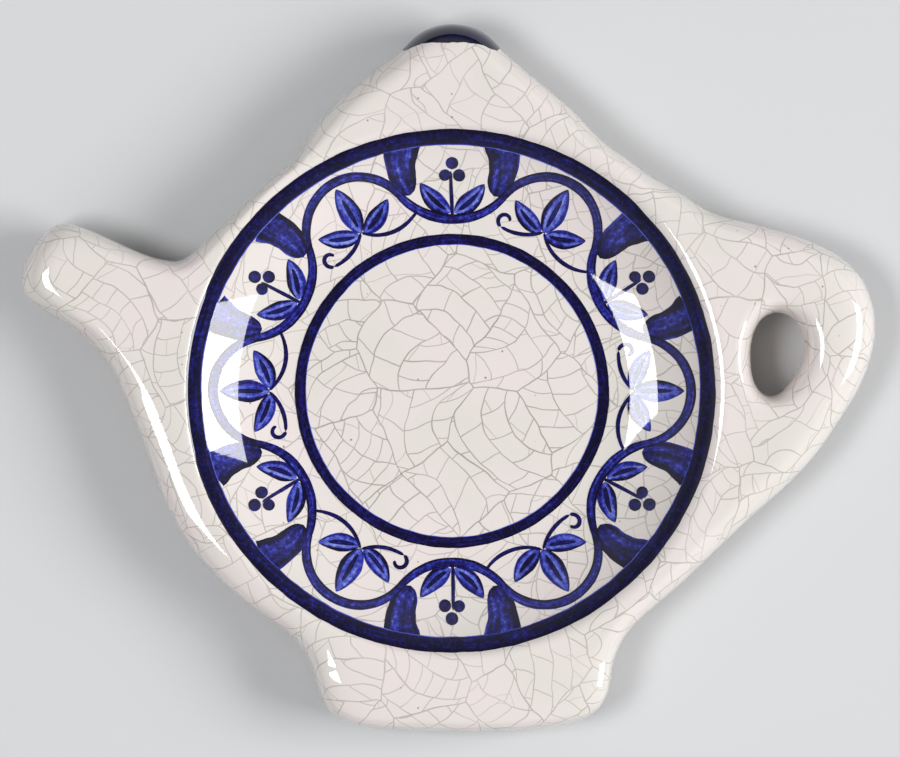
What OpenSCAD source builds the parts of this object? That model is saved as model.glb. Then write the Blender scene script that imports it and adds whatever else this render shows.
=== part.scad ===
// Tea bag rest in the outline of a teapot, lying flat with its dish upwards.
// The dish axis is Z, the table is z = 0, the handle points to +X and the knob to +Y.

/* [Dish] */
// Radius of the dish at its crest
crest_r = 39.6; // [38:0.1:40.5]
// Height of the crest above the table
crest_z = 12; // [11:0.1:16]
// Radius of the flat well floor, where the border starts to rise, as a share of the crest's radius
well_r_share = 0.548; // [0.48:0.002:0.6]
// Height of the well floor above the table
floor_z = 5; // [4:0.1:7]

/* [Rim] */
// Height of the widest line round the edge
edge_z = 5.6; // [4:0.1:8]
// How far the top rolls over towards the edge
top_roll = 3.6; // [2:0.1:4]
// How far the underside rolls in from the edge
under_roll = 2.2; // [1:0.1:3.5]
// Least width of the level crest between the dish and the rolled edge
crest_flat = 0.4; // [0.3:0.1:0.6]

/* [Foot] */
// Outer radius of the unglazed foot ring
foot_r = 31; // [25:0.5:36]
// Width of the foot ring's flat
foot_w = 3.2; // [2:0.1:6]
// Height of the foot ring below the underside
foot_h = 2; // [1:0.1:3]

/* [Spout] */
// Length of the spout from the belly to its mouth
spout_len = 24; // [20:0.5:30]
// Width of the spout near its mouth
spout_w = 13; // [11:0.5:16]
// Distance of the spout's root from the crest of the dish
spout_neck_len = 3.3; // [2.5:0.1:4.5]
// Direction of the spout's root from the dish axis, in degrees
spout_root_turn = 168.6; // [166:0.1:171]
// Direction in which the spout points, in degrees
spout_turn = 150; // [147:1:153]

/* [Lid] */
// Width of the lid at its foot, as a share of the crest's diameter
lid_w_share = 0.5556; // [0.53:0.001:0.58]
// Rise of the lid above the crest of the dish
lid_h = 11; // [9:0.5:14]
// Width of the knob on the lid
knob_w = 15; // [13:0.5:17]
// Rise of the knob above the lid
knob_h = 4; // [3:0.5:5]

/* [Handle] */
// Reach of the handle beyond the crest of the dish
handle_len = 23.4; // [21:0.2:28]
// Height of the handle's root along the dish, as a share of the crest's diameter
handle_h_share = 0.682; // [0.63:0.002:0.73]
// Width of the finger hole
hole_w = 8.1; // [6:0.1:10]
// Length of the finger hole
hole_h = 12.6; // [10:0.1:15]
// How far the hole's edges roll in
hole_roll = 2; // [1:0.1:2.4]

/* [Base] */
// Width of the pot's base, as a share of the crest's diameter
base_w_share = 0.5556; // [0.52:0.001:0.59]
// Depth of the base below the crest of the dish
base_h = 11; // [9:0.5:14]

/* [Belly] */
// Width of the rim on the open side of the belly
belly_w = 5.4; // [4.4:0.1:7]

/* [Painted lines] */
// Thickness of the painted layers
paint_t = 0.15; // [0.1:0.05:0.3]
// Gap between the crest and the line under it
outer_line_gap = 0.5; // [0.2:0.1:1.5]
// Width of the line under the crest
outer_line_w = 2.3; // [1:0.1:3]
// Width of the line round the well
inner_line_w = 1.7; // [1:0.1:3]
// How far the knob's colour reaches down from its top
knob_paint = 3; // [2:0.1:3.6]
// How far the knob's colour reaches in at its two ends
knob_paint_end = 0.4; // [0.2:0.1:1]

/* [Painted vine] */
// Number of waves that the vine makes round the border
waves = 6; // [5:1:8]
// How far the vine bows out from its middle circle, as a share of the painted border's width
bow_share = 0.479; // [0.4:0.005:0.485]
// Width of the vine's stem, as a share of the vine's size like all that follow here
stem_w_share = 0.097; // [0.06:0.001:0.12]
// Width of the fine strokes of the curls
stroke_w_share = 0.052; // [0.04:0.001:0.07]
// Length of a leaf lobe
leaf_len_share = 0.552; // [0.4:0.001:0.57]
// Width of a leaf lobe
leaf_w_share = 0.254; // [0.15:0.001:0.3]
// Radius of a berry
berry_r_share = 0.071; // [0.04:0.001:0.09]
// Radius of the branch that carries a leaf, and of its tendril
branch_r_share = 0.537; // [0.45:0.001:0.58]
// Radius of the curl at a tendril's end
curl_r_share = 0.082; // [0.06:0.001:0.1]
// Gap between a leaf's foot and the place where its lobes meet
lobe_gap_share = 0.037; // [0.02:0.001:0.07]
// Radius left clear of dark wash round the berries and their leaves
wash_hollow_share = 0.3955; // [0.34:0.0005:0.42]
// Gap between the stem and the dark wash
wash_gap_share = 0.022; // [0.01:0.001:0.04]
// Turn of a leaf's side lobes, in degrees
lobe_turn = 68; // [55:1:80]
// Turn of a spray's leaves, in degrees
spray_turn = 48; // [40:1:60]

/* [Hidden] */
// How far a cutting solid runs past what it cuts
overrun = 1;
// How far the berries stand apart, in their own radii
berry_ring_share = 1.25;
// Side lobes against the middle lobe, and a leaf's stroke against the leaf
side_lobe_share = 0.82;
vein_start_share = 0.1;
vein_len_share = 0.72;
vein_share = 0.22;
// Points between two outline points, and steps in a rolled edge
outline_steps = 2;
roll_steps = 5;
under_steps = 3;
// Points round the dish, and steps down its border
dish_points = 72;
border_steps = 8;
// Facets of a round solid, and of the big discs that slim leaves are cut from
$fn = 64;
leaf_disc_facets = 200;

// The border is one arc, level at the well's edge, which ends at the crest
well_r = well_r_share * crest_r;
outer_line_r = crest_r - outer_line_gap;
border_rise = crest_z - floor_z;
border_run = crest_r - well_r;
border_arc_r = (border_run * border_run + border_rise * border_rise) / (2 * border_rise);
border_half_turn = asin(border_run / border_arc_r);
// The casting's facets touch that arc from below, so the arc of their corners is a little bigger
dish_arc_r = border_arc_r / cos(border_half_turn / border_steps / 2);
dish_half_turn = acos((border_arc_r - border_rise) / dish_arc_r);

// Outline of the lid's two sides: shares of half the lid's width, and of its rise above the crest
lid_left_shares = [[0.53, 0.73], [0.655, 0.53], [0.777, 0.33], [0.868, 0.12]];
lid_right_shares = [[0.945, -0.08], [0.855, 0.12], [0.74, 0.33], [0.62, 0.53], [0.5, 0.73]];
// Outline of the spout: shares of its length, and of half its width, from its root
spout_shares = [[0.15, -1.66], [0.225, -1.46], [0.33, -1.33], [0.47, -1.25], [0.65, -1.19],
    [0.8, -1.12], [0.91, -0.99], [0.98, -0.66], [1, -0.14], [0.985, 0.38], [0.93, 0.8],
    [0.82, 0.95], [0.63, 0.98], [0.45, 1.03], [0.32, 1.16], [0.205, 1.34], [0.11, 1.58]];
// Edge of the belly between these: turns from the dish axis in degrees, and shares of the belly's
// width beyond the crest, for the left shoulder, the belly's two sides and the right shoulder
left_shoulder_turns = [118.4, 123.9, 132, 146];
left_shoulder_shares = [0.77, 0.4, 0.34, 0.52];
left_belly_turns = [190, 202, 213, 224, 232.6, 238.5];
left_belly_shares = [1.28, 1.13, 1.02, 0.84, 0.715, 0.79];
right_belly_turns = [303.7, 308.7, 318.9, 328.7];
right_belly_shares = [1.04, 0.81, 0.89, 1.15];
right_shoulder_turns = [35, 40.9, 47.3, 52.4, 57.4];
right_shoulder_shares = [1.3, 0.995, 0.73, 0.685, 0.69];
// Outline of the base: shares of half its width, and of its depth from the crest
base_shares = [[-0.96, 0.07], [-0.915, 0.36], [-0.86, 0.66], [-0.72, 0.87], [-0.46, 0.965], [0, 1],
    [0.46, 0.98], [0.82, 0.88], [1.0, 0.68], [1.065, 0.4], [1.085, 0.11]];
// Outline of the handle: shares of its reach past the crest, and of half its height
handle_shares = [[0.2, -0.7], [0.41, -0.54], [0.6, -0.37],
    [0.755, -0.18], [0.865, -0.03], [0.945, 0.12], [0.995, 0.3], [0.98, 0.48], [0.905, 0.63],
    [0.79, 0.73], [0.63, 0.81], [0.4, 0.88], [0.15, 0.935]];
// Place of the finger hole's middle, in the same shares, and the hole's egg outline
hole_place_shares = [0.377, 0.2];
hole_shares = [[0.08, 1], [0.72, 0.74], [0.98, 0.35], [0.9, -0.12], [0.62, -0.5], [0.1, -0.92],
    [-0.42, -0.98], [-0.86, -0.68], [-1, -0.14], [-0.94, 0.38], [-0.6, 0.84]];
// Steps of the knob's round top, from its left end to its right end
knob_steps = 6;
knob_arc_r = (knob_w * knob_w / 4 + knob_h * knob_h) / (2 * knob_h);
knob_half_turn = asin(knob_w / 2 / knob_arc_r);

// The painted border runs between these circles, and the vine's waves cross the one in its middle
band_from_r = well_r + inner_line_w;
band_w = outer_line_r - outer_line_w - band_from_r;
vine_r = band_from_r + band_w / 2;
half_wave = 90 / waves;
half_chord = vine_r * sin(half_wave);
stem_mid_r = vine_r * cos(half_wave);
// The vine bows out and in by arcs that meet end to end, each from its rise over its chord
out_rise = bow_share * band_w;
out_turn = 2 * atan(out_rise / half_chord);
in_turn = out_turn - 2 * half_wave;
in_rise = half_chord * tan(in_turn / 2);
out_arc_r = half_chord / sin(out_turn);
in_arc_r = half_chord / sin(in_turn);
// How much of each arc is drawn, and the size of the joint between two arcs against the stem
arc_len_share = 0.985;
joint_share = 1.12;
// The vine's size, that of the border or of a wave, whichever is less, and what follows from it
chord_share = 1.72;
vine_size = min(band_w, chord_share * half_chord);
stem_w = stem_w_share * vine_size;
stroke_w = stroke_w_share * vine_size;
leaf_len = leaf_len_share * vine_size;
leaf_w = leaf_w_share * vine_size;
berry_r = berry_r_share * vine_size;
branch_r = branch_r_share * vine_size;
curl_r = curl_r_share * vine_size;
lobe_gap = lobe_gap_share * vine_size;
wash_hollow_r = wash_hollow_share * vine_size;
wash_gap = wash_gap_share * vine_size;
// Places of the leaves, the sprays and the dark wash across the border, and of the berries, the
// clear round about them and the branches from those
leaf_place_share = 0.246;
spray_place_share = 0.209;
wash_from_share = 0.455;
berry_ahead_share = 0.478;
wash_hollow_ahead_share = 0.418;
branch_ahead_share = 0.391;
branch_side_share = 0.4075;
leaf_place_r = band_from_r + leaf_place_share * band_w;
spray_r = band_from_r + spray_place_share * band_w;
wash_from_r = band_from_r + wash_from_share * band_w;
berry_place_r = spray_r + berry_ahead_share * vine_size;
wash_hollow_place_r = spray_r + wash_hollow_ahead_share * vine_size;
branch_place_r = leaf_place_r + branch_ahead_share * vine_size;
branch_side = branch_side_share * vine_size;
// A branch's tilt, how far it sweeps towards the stem and towards its leaf, where a tendril meets
// its curl and how far the curl sweeps
branch_tilt_turn = 9.7;
branch_half_turn = 39;
branch_leaf_turn = 33;
curl_turn = 165;
curl_sweep = 230;
// Steps of a wedge's far side
wedge_steps = 4;

// A point at a distance and a turn from the dish axis
function polar(r, turn) = [r * cos(turn), r * sin(turn)];

// A point given along and across a direction, from a root
function placed(root, turn, along, across) =
    root + along * [cos(turn), sin(turn)] + across * [-sin(turn), cos(turn)];

// Points of the belly's edge, from their turns and their shares of the belly's width
function belly_marks(turns, shares) =
    [for (i = [0:len(turns) - 1]) polar(crest_r + belly_w * shares[i], turns[i])];

// Widths of the lid and the base, and height of the handle
lid_w = lid_w_share * 2 * crest_r;
base_w = base_w_share * 2 * crest_r;
handle_h = handle_h_share * 2 * crest_r;
spout_root = polar(crest_r + spout_neck_len, spout_root_turn);
outline_marks = concat(
    [for (i = [0:knob_steps])
        let (turn = knob_half_turn * (2 * i / knob_steps - 1))
        [0, crest_r + lid_h + knob_h - knob_arc_r] + polar(knob_arc_r, 90 + turn)],
    [for (s = lid_left_shares) [-s[0] * lid_w / 2, crest_r + s[1] * lid_h]],
    belly_marks(left_shoulder_turns, left_shoulder_shares),
    [for (s = spout_shares) placed(spout_root, spout_turn, s[0] * spout_len, s[1] * spout_w / 2)],
    belly_marks(left_belly_turns, left_belly_shares),
    [for (s = base_shares) [s[0] * base_w / 2, -crest_r - s[1] * base_h]],
    belly_marks(right_belly_turns, right_belly_shares),
    [for (s = handle_shares) [crest_r + s[0] * handle_len, s[1] * handle_h / 2]],
    belly_marks(right_shoulder_turns, right_shoulder_shares),
    [for (s = lid_right_shares) [s[0] * lid_w / 2, crest_r + s[1] * lid_h]]
);

// A smooth closed line through marks, with a number of steps between two of them
function smooth_line(marks, steps) =
    let (n = len(marks))
    [for (i = [0:n - 1], j = [0:steps - 1])
        let (a = marks[(i + n - 1) % n], b = marks[i], c = marks[(i + 1) % n], d = marks[(i + 2) % n],
            t = j / steps)
        (2 * b + (c - a) * t + (2 * a - 5 * b + 4 * c - d) * t * t
            + (3 * b - a - 3 * c + d) * t * t * t) / 2];

// Point i of a line, moved outwards by a distance, or inwards where the distance is negative
function moved_point(line, i, distance) =
    let (n = len(line), run = line[(i + 1) % n] - line[(i + n - 1) % n])
    line[i] + distance * [run[1], -run[0]] / norm(run);

outline = smooth_line(outline_marks, outline_steps);
hole_middle = [crest_r + hole_place_shares[0] * handle_len, hole_place_shares[1] * handle_h / 2];
hole_marks = [for (i = [len(hole_shares) - 1:-1:0])
    hole_middle + [hole_shares[i][0] * hole_w, hole_shares[i][1] * hole_h] / 2];
hole_line = smooth_line(hole_marks, outline_steps);

// Heights of the rolled edge at a share of its sweep, from the underside's flat up to the widest
// line and from there up to the top's flat, and how far the edge has come in there
function under_height(t) = edge_z - (edge_z - foot_h) * sin(t);
function top_height(t) = edge_z + (crest_z - edge_z) * sin(t);
function roll_in(roll, t) = roll * (1 - cos(t));
under_turns = [for (i = [0:under_steps]) 90 * (1 - i / under_steps)];
top_turns = [for (i = [1:roll_steps]) 90 * i / roll_steps];

// How far the top rolls in at a point of the outline, which is less where the crest is near
function top_run(p) = min(top_roll, norm(p) - crest_r - crest_flat);

// A ring round a line at a height, moved by a distance for each of its points
function ring_at(line, distances, z) = [
    for (i = [0:len(line) - 1]) let (p = moved_point(line, i, distances[i])) [p[0], p[1], z]];

// Level rings up a rolled edge, moved inwards by a sign of -1 or outwards by 1
function edge_rings(line, under, tops, way) = [
    for (t = under_turns) each ring_at(line, [for (run = tops) way * roll_in(under, t)], under_height(t)),
    for (t = top_turns) each ring_at(line, [for (run = tops) way * roll_in(run, t)], top_height(t))];

// Faces between rings of n points each, seen from outside where the rings are listed upwards
// round a solid, and from inside where they go round a hole
function ring_faces(first, n, rings, solid) = [
    for (k = [0:rings - 2], i = [0:n - 1])
        let (a = first + k * n + i, b = first + k * n + (i + 1) % n)
        each solid ? [[a, a + n, b], [b, a + n, b + n]] : [[a, b, a + n], [b, b + n, a + n]]];

// Numbers of a ring's points from one to another, anticlockwise and clockwise
function ring_span(first, n, from, to) = [for (i = [0:(to - from + n) % n]) first + (from + i) % n];
function ring_back(first, n, from, to) = [for (i = [0:(from - to + n) % n]) first + (from - i + n) % n];
function reversed(list) = [for (i = [len(list) - 1:-1:0]) list[i]];

// Numbers of the points of a line that lie furthest to the left and to the right
function leftmost(line) = let (xs = [for (p = line) p[0]]) search(min(xs), xs)[0];
function rightmost(line) = let (xs = [for (p = line) p[0]]) search(max(xs), xs)[0];

// Twice a triangle's area in plan, above zero where its corners run anticlockwise
function plan_turn(a, b, c) = (b[0] - a[0]) * (c[1] - a[1]) - (b[1] - a[1]) * (c[0] - a[0]);
function in_triangle(p, a, b, c) =
    plan_turn(a, b, p) >= 0 && plan_turn(b, c, p) >= 0 && plan_turn(c, a, p) >= 0;

// Whether the corner at place k of an anticlockwise loop can be cut off as a triangle
function is_ear(points, loop, k) =
    let (n = len(loop), i = loop[(k + n - 1) % n], j = loop[k], l = loop[(k + 1) % n])
    plan_turn(points[i], points[j], points[l]) > 0
        && len([for (m = loop)
            if (m != i && m != j && m != l
                && in_triangle(points[m], points[i], points[j], points[l])) m]) == 0;

// A level loop of points cut into triangles, one corner after another
function cut_ears(points, loop, k = 0, done = []) =
    len(loop) == 3 ? concat(done, [loop]) :
    let (n = len(loop), c = k % n)
    is_ear(points, loop, c)
        ? cut_ears(points, [for (i = [0:n - 1]) if (i != c) loop[i]], c + 1,
            concat(done, [[loop[(c + n - 1) % n], loop[c], loop[(c + 1) % n]]]))
        : cut_ears(points, loop, k + 1, done);

// The casting with its spout, lid, handle and base in one. Each of its two flats is cut in two
// along a seam from the spout's mouth, through the dish and the finger hole, to the handle.
module body() {
    edge_count = len(outline);
    hole_count = len(hole_line);
    ring_count = len(under_turns) + len(top_turns);
    dish_rings = concat([for (i = [border_steps:-1:1])
        let (t = dish_half_turn * i / border_steps)
        [well_r + dish_arc_r * sin(t), floor_z + border_arc_r - dish_arc_r * cos(t)]],
        [[well_r, floor_z]]);
    hole_first = edge_count * ring_count;
    dish_first = hole_first + hole_count * ring_count;
    edge_top = edge_count * (ring_count - 1);
    hole_top = hole_first + hole_count * (ring_count - 1);
    edge_left = leftmost(outline);
    edge_right = rightmost(outline);
    hole_left = leftmost(hole_line);
    hole_right = rightmost(hole_line);
    dish_left = round(spout_root_turn / 360 * dish_points);
    points = concat(
        edge_rings(outline, under_roll, [for (p = outline) top_run(p)], -1),
        edge_rings(hole_line, hole_roll, [for (p = hole_line) hole_roll], 1),
        [for (ring = dish_rings, i = [0:dish_points - 1])
            let (p = polar(ring[0] / cos(180 / dish_points), 360 * i / dish_points))
            [p[0], p[1], ring[1]]]);
    far_edge = ring_span(0, edge_count, edge_right, edge_left);
    near_edge = ring_span(0, edge_count, edge_left, edge_right);
    far_hole = ring_back(hole_first, hole_count, hole_left, hole_right);
    near_hole = ring_back(hole_first, hole_count, hole_right, hole_left);
    under_loops = [concat(far_edge, far_hole), concat(near_edge, near_hole)];
    top_loops = [
        concat([for (i = far_edge) edge_top + i], ring_back(dish_first, dish_points, dish_left, 0),
            [for (i = far_hole) hole_top - hole_first + i]),
        concat([for (i = near_edge) edge_top + i], [for (i = near_hole) hole_top - hole_first + i],
            ring_back(dish_first, dish_points, 0, dish_left))];
    color("ivory") polyhedron(points, concat(
        ring_faces(0, edge_count, ring_count, true),
        ring_faces(hole_first, hole_count, ring_count, false),
        ring_faces(dish_first, dish_points, len(dish_rings), true),
        [for (loop = under_loops) each cut_ears(points, loop)],
        [for (loop = top_loops, t = cut_ears(points, loop)) reversed(t)],
        [[for (i = [dish_points - 1:-1:0]) len(points) - dish_points + i]]));
}

// A point of the knob's painted skin: its column round the knob, its ring and its thickness
function knob_point(i, on_top, t, skin) =
    let (turn_share = 2 * i / (knob_steps * outline_steps) - 1,
        reach = knob_paint_end + (knob_paint - knob_paint_end) * (1 - turn_share * turn_share),
        in = on_top ? reach * (1 - cos(t)) : roll_in(under_roll, t),
        p = moved_point(outline, i, skin - in),
        side = 1 - in / top_roll)
    [p[0], p[1], on_top ? edge_z + (crest_z + skin - edge_z) * sqrt(1 - side * side) : under_height(t)];

// The knob's dark tip, a skin on the casting from the underside's flat up to the knob line
module knob_tip() {
    columns = [for (i = [0:knob_steps * outline_steps]) i];
    heights = concat([for (t = under_turns) [false, t]], [for (t = top_turns) [true, t]]);
    inner = [for (h = heights, i = columns) knob_point(i, h[0], h[1], 0)];
    outer = [for (h = heights, i = columns) knob_point(i, h[0], h[1], paint_t)];
    n = len(columns);
    m = len(heights);
    cells = [for (k = [0:m - 2], i = [0:n - 2]) k * n + i];
    rim = concat([for (i = [0:n - 2]) [i, i + 1]],
        [for (k = [0:m - 2]) [k * n + n - 1, (k + 1) * n + n - 1]],
        [for (i = [n - 1:-1:1]) [(m - 1) * n + i, (m - 1) * n + i - 1]],
        [for (k = [m - 1:-1:1]) [k * n, (k - 1) * n]]);
    color("midnightblue") polyhedron(concat(outer, inner), concat(
        [for (a = cells) each [[a, a + n, a + 1], [a + 1, a + n, a + n + 1]]],
        [for (c = cells) let (a = c + n * m) each [[a, a + 1, a + n], [a + 1, a + n + 1, a + n]]],
        [for (r = rim) each [[r[0], r[1], r[0] + n * m], [r[1], r[1] + n * m, r[0] + n * m]]]));
}

// A layer of paint on the border, between two radii
module border_layer(from_r, to_r) {
    rotate_extrude() intersection() {
        difference() {
            translate([well_r, floor_z + border_arc_r]) circle(border_arc_r);
            translate([well_r, floor_z + border_arc_r]) circle(border_arc_r - paint_t);
        }
        translate([from_r, 0]) square([to_r - from_r, crest_z]);
    }
}

// Flat shapes laid on the border as a layer of paint, between the two lines
module painted() {
    intersection() {
        border_layer(band_from_r, band_from_r + band_w);
        linear_extrude(crest_z) children();
    }
}

// The shapes of one wave, repeated round the border
module round_border() {
    for (i = [0:waves - 1]) rotate(i * 360 / waves) children();
}

// A wedge from the origin between two turns
module wedge(reach, from, to) {
    polygon(concat([[0, 0]], [for (i = [0:wedge_steps]) polar(reach, from + (to - from) * i / wedge_steps)]));
}

// A stroke of the brush along an arc round the origin, with round ends or cut ones
module arc_stroke(r, width, from, to, round_ends = true) {
    intersection() {
        difference() {
            circle(r + width / 2);
            circle(r - width / 2);
        }
        wedge(2 * r, from, to);
    }
    if (round_ends) for (turn = [from, to]) translate(polar(r, turn)) circle(width / 2);
}

// A pointed leaf from the origin along X, the overlap of two discs
module leaf(length, width) {
    disc_r = (length * length + width * width) / (4 * width);
    intersection() {
        translate([length / 2, disc_r - width / 2]) circle(disc_r, $fn = leaf_disc_facets);
        translate([length / 2, width / 2 - disc_r]) circle(disc_r, $fn = leaf_disc_facets);
    }
}

// A lobe of a leaf from the origin along X, or the stroke drawn in it
module lobe(size_share, stroke) {
    length = leaf_len * size_share;
    if (stroke) translate([lobe_gap + vein_start_share * length, 0])
        leaf(vein_len_share * length, vein_share * leaf_w);
    else translate([lobe_gap, 0]) leaf(length, leaf_w);
}

// Three lobes of a leaf, turned outwards from the dish axis
module three_lobes(stroke) {
    translate([leaf_place_r, 0]) for (side = [-1:1])
        rotate(side * lobe_turn) lobe(side == 0 ? 1 : side_lobe_share, stroke);
}

// Two leaves of the spray in the vine's outward hollow
module spray(stroke) {
    rotate(180 / waves) translate([spray_r, 0]) for (side = [-1, 1])
        rotate(side * spray_turn) lobe(side_lobe_share, stroke);
}

// All leaves, or the strokes drawn in them
module all_leaves(stroke) {
    round_border() {
        three_lobes(stroke);
        spray(stroke);
    }
}

// The vine's stem, arcs that bow out and in by turns, with a round joint where two of them meet
module stem_shape() {
    round_border() {
        translate([stem_mid_r + out_rise - out_arc_r, 0])
            arc_stroke(out_arc_r, stem_w, -arc_len_share * out_turn, arc_len_share * out_turn, false);
        rotate(180 / waves) translate([stem_mid_r - in_rise + in_arc_r, 0])
            arc_stroke(in_arc_r, stem_w, 180 - arc_len_share * in_turn, 180 + arc_len_share * in_turn, false);
        for (side = [-1, 1]) translate(polar(vine_r, side * half_wave)) circle(joint_share * stem_w / 2);
    }
}

// The dark wash in the corners between the vine and the line under the crest
module corner_wash() {
    color("midnightblue") painted() difference() {
        round_border() rotate(180 / waves) intersection() {
            translate([stem_mid_r - in_rise + in_arc_r, 0]) circle(in_arc_r - stem_w / 2 - wash_gap);
            difference() {
                circle(crest_r);
                circle(wash_from_r);
            }
        }
        round_border() rotate(180 / waves) translate([wash_hollow_place_r, 0])
            circle(wash_hollow_r);
        stem_shape();
    }
}

// The vine's running stem
module vine_stem() {
    color("mediumblue") painted() stem_shape();
}

// The vine's leaves, in a thin wash
module vine_leaves() {
    color("cornflowerblue") painted() difference() {
        all_leaves(false);
        all_leaves(true);
        stem_shape();
    }
}

// The dark strokes in the leaves
module leaf_veins() {
    color("darkblue") painted() difference() {
        all_leaves(true);
        stem_shape();
    }
}

// The branch that carries each leaf, its tendril on the other side, and the berries' stalk
module vine_curls() {
    color("darkblue") painted() difference() {
        round_border() {
            translate([branch_place_r, -branch_side]) rotate(-branch_tilt_turn)
                arc_stroke(branch_r, stroke_w, 180 - branch_leaf_turn, 180 + branch_half_turn);
            translate([branch_place_r, branch_side]) rotate(branch_tilt_turn) {
                arc_stroke(branch_r, stroke_w, curl_turn, 180 + branch_leaf_turn);
                translate(polar(branch_r - curl_r, curl_turn))
                    arc_stroke(curl_r, stroke_w, curl_turn - curl_sweep, curl_turn);
            }
            rotate(180 / waves) translate([stem_mid_r - in_rise, -stroke_w / 4])
                square([berry_place_r - stem_mid_r + in_rise, stroke_w / 2]);
        }
        all_leaves(false);
        stem_shape();
        berry_shape();
    }
}

// Three berries in each outward hollow of the vine
module berry_shape() {
    round_border() rotate(180 / waves) translate([berry_place_r, 0])
        for (i = [0:2]) translate(polar(berry_ring_share * berry_r, 120 * i)) circle(berry_r);
}

// The berries, dabs of dark colour
module vine_berries() {
    color("darkblue") painted() berry_shape();
}

// The ring that the casting stands on, wiped bare of glaze
module foot_ring() {
    color("wheat") difference() {
        cylinder(h = foot_h, r = foot_r);
        translate([0, 0, -overrun]) cylinder(h = foot_h + 2 * overrun, r = foot_r - foot_w);
    }
}

// The broad line under the crest
module outer_line() {
    color("midnightblue") border_layer(outer_line_r - outer_line_w, outer_line_r);
}

// The line round the well
module inner_line() {
    color("midnightblue") border_layer(well_r, well_r + inner_line_w);
}

body();
foot_ring();
knob_tip();
outer_line();
inner_line();
corner_wash();
vine_stem();
vine_leaves();
leaf_veins();
vine_curls();
vine_berries();
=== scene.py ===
import math
from functools import partial

import bpy
import numpy as np
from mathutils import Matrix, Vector
from mathutils.geometry import delaunay_2d_cdt
from mathutils.kdtree import KDTree


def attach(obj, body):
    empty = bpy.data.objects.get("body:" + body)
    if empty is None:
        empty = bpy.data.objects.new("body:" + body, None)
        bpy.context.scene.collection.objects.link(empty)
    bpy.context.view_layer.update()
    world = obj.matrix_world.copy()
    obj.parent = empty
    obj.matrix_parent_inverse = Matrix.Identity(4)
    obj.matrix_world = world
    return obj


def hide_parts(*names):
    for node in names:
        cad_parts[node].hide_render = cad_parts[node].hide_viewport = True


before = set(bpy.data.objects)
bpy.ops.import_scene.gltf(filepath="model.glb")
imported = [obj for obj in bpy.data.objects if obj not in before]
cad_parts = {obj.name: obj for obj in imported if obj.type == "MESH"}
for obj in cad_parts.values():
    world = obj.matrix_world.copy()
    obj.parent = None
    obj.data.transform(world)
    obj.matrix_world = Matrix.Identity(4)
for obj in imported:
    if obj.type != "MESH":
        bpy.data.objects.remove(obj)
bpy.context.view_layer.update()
mm = 0.001


# Small helpers for node trees, pieces and lines

# a typed colour (sRGB hex) as the linear values that Blender works in
def paintColour(code):
    parts = [int(code[i:i + 2], 16) / 255 for i in (1, 3, 5)]
    return [p / 12.92 if p <= 0.04045 else ((p + 0.055) / 1.055) ** 2.4 for p in parts] + [1.0]


# Adds one node: its kind, with the operation behind it for arithmetic, its settings, and what feeds its
# inputs, in order and then by name, each a plain value or a socket. Gives one output, or all of them.
def addNode(tree, kind, *feeds, give=0, **settings):
    kind, *operation = kind.split()
    node = tree.nodes.new(kind if "Node" in kind else "ShaderNode" + kind)
    if operation:
        node.operation = operation[0]
    for name, value in settings.items():
        setattr(node, name, value)
    named = feeds[-1] if feeds and isinstance(feeds[-1], dict) else {}
    for place, value in [*enumerate(feeds[:-1] if named else feeds), *named.items()]:
        if isinstance(value, bpy.types.NodeSocket):
            tree.links.new(value, node.inputs[place])
        else:
            node.inputs[place].default_value = value
    return node.outputs if give is None or not node.outputs else node.outputs[give]


# names a tree's inputs and outputs, each with its kind and, for some, its first value
def nameSockets(tree, inputs, outputs):
    for direction, sockets in (("INPUT", inputs), ("OUTPUT", outputs)):
        for name, (kind, *first) in sockets.items():
            socket = tree.interface.new_socket(name=name, in_out=direction, socket_type="NodeSocket" + kind)
            for value in first:
                socket.default_value = value


# an object with its data, put in the scene
def newItem(name, data):
    item = bpy.data.objects.new(name, data)
    bpy.context.scene.collection.objects.link(item)
    return item


# an object made from points, faces and one shared normal for each point
def meshItem(name, points, faces, normals=None):
    mesh = bpy.data.meshes.new(name)
    mesh.from_pydata([tuple(p) for p in points], [], [tuple(f) for f in faces])
    mesh.polygons.foreach_set("use_smooth", [True] * len(mesh.polygons))
    if normals is not None:
        mesh.normals_split_custom_set_from_vertices([tuple(n) for n in normals])
    return newItem(name, mesh)


# an object grown by a tree from the values given for its inputs, and kept as a plain mesh
def grownItem(name, tree, given):
    item = newItem(name, bpy.data.meshes.new(name))
    tool = item.modifiers.new(name, "NODES")
    tool.node_group = tree
    for socket in tree.interface.items_tree:
        if socket.in_out == "INPUT" and socket.name in given:
            tool[socket.identifier] = given[socket.name]
    bpy.context.view_layer.update()
    made = bpy.data.meshes.new_from_object(item.evaluated_get(bpy.context.evaluated_depsgraph_get()))
    item.modifiers.clear()
    item.data = made
    return item


# hands a finished piece over: attaches it to the root body that it rides on and hides the CAD node it stands
# for
def handOver(piece, node):
    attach(piece, "root")
    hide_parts(node)
    print(piece.name, len(piece.data.polygons), "faces")


# rows of vectors brought to length one
def unit(vectors):
    return vectors / np.maximum(np.linalg.norm(vectors, axis=-1, keepdims=True), 1e-12)


# how far along its line each point lies
def runOf(line):
    return np.concatenate([[0], np.cumsum(np.linalg.norm(np.diff(line, axis=0), axis=1))])


# finds the nearest of some plan points
def finderOf(points):
    finder = KDTree(len(points))
    for i, (x, y) in enumerate(points):
        finder.insert((x, y, 0), i)
    finder.balance()
    return finder


# Casting: the glazed body, one smooth skin over spout, lid, handle, base and dish

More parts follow.
